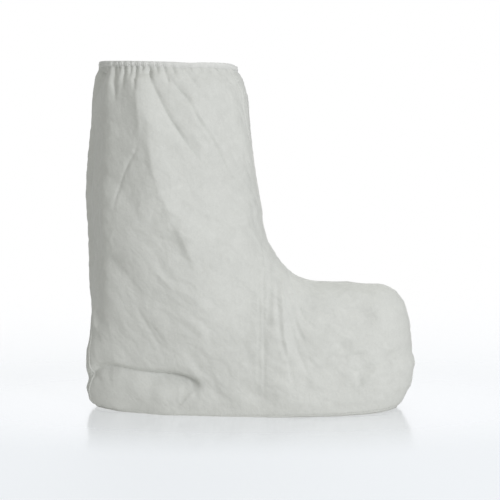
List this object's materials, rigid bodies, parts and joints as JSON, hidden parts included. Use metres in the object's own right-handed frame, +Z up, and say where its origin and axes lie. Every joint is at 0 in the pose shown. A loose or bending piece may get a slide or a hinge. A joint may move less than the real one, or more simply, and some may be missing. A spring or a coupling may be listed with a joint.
{
  "type": "disposable boot cover",
  "caption": "Knee-low disposable boot cover: a thin nonwoven bag in a boot's shape with a flat sewn-in sole, overlocked seams and an elastic gathered collar.",
  "frame": {"origin": "on the floor, under the middle of the cover's bounding box", "axes": "+X to the toe, +Y to the wearer's left, +Z up the shaft"},
  "size_m": [0.4322, 0.156, 0.457],
  "materials": {
    "nonwoven_sheet": "matte, papery, faintly fibrous",
    "sole_sheet": "matte",
    "hem": "matte, finely ribbed",
    "seam": "matte, stitched"
  },
  "bodies": {
    "root": {"upper": "nonwoven_sheet", "sole": "sole_sheet", "collar_hem": "hem", "front_seam": "seam", "back_seam": "seam", "sole_seam": "seam"}
  },
  "joints": []
}
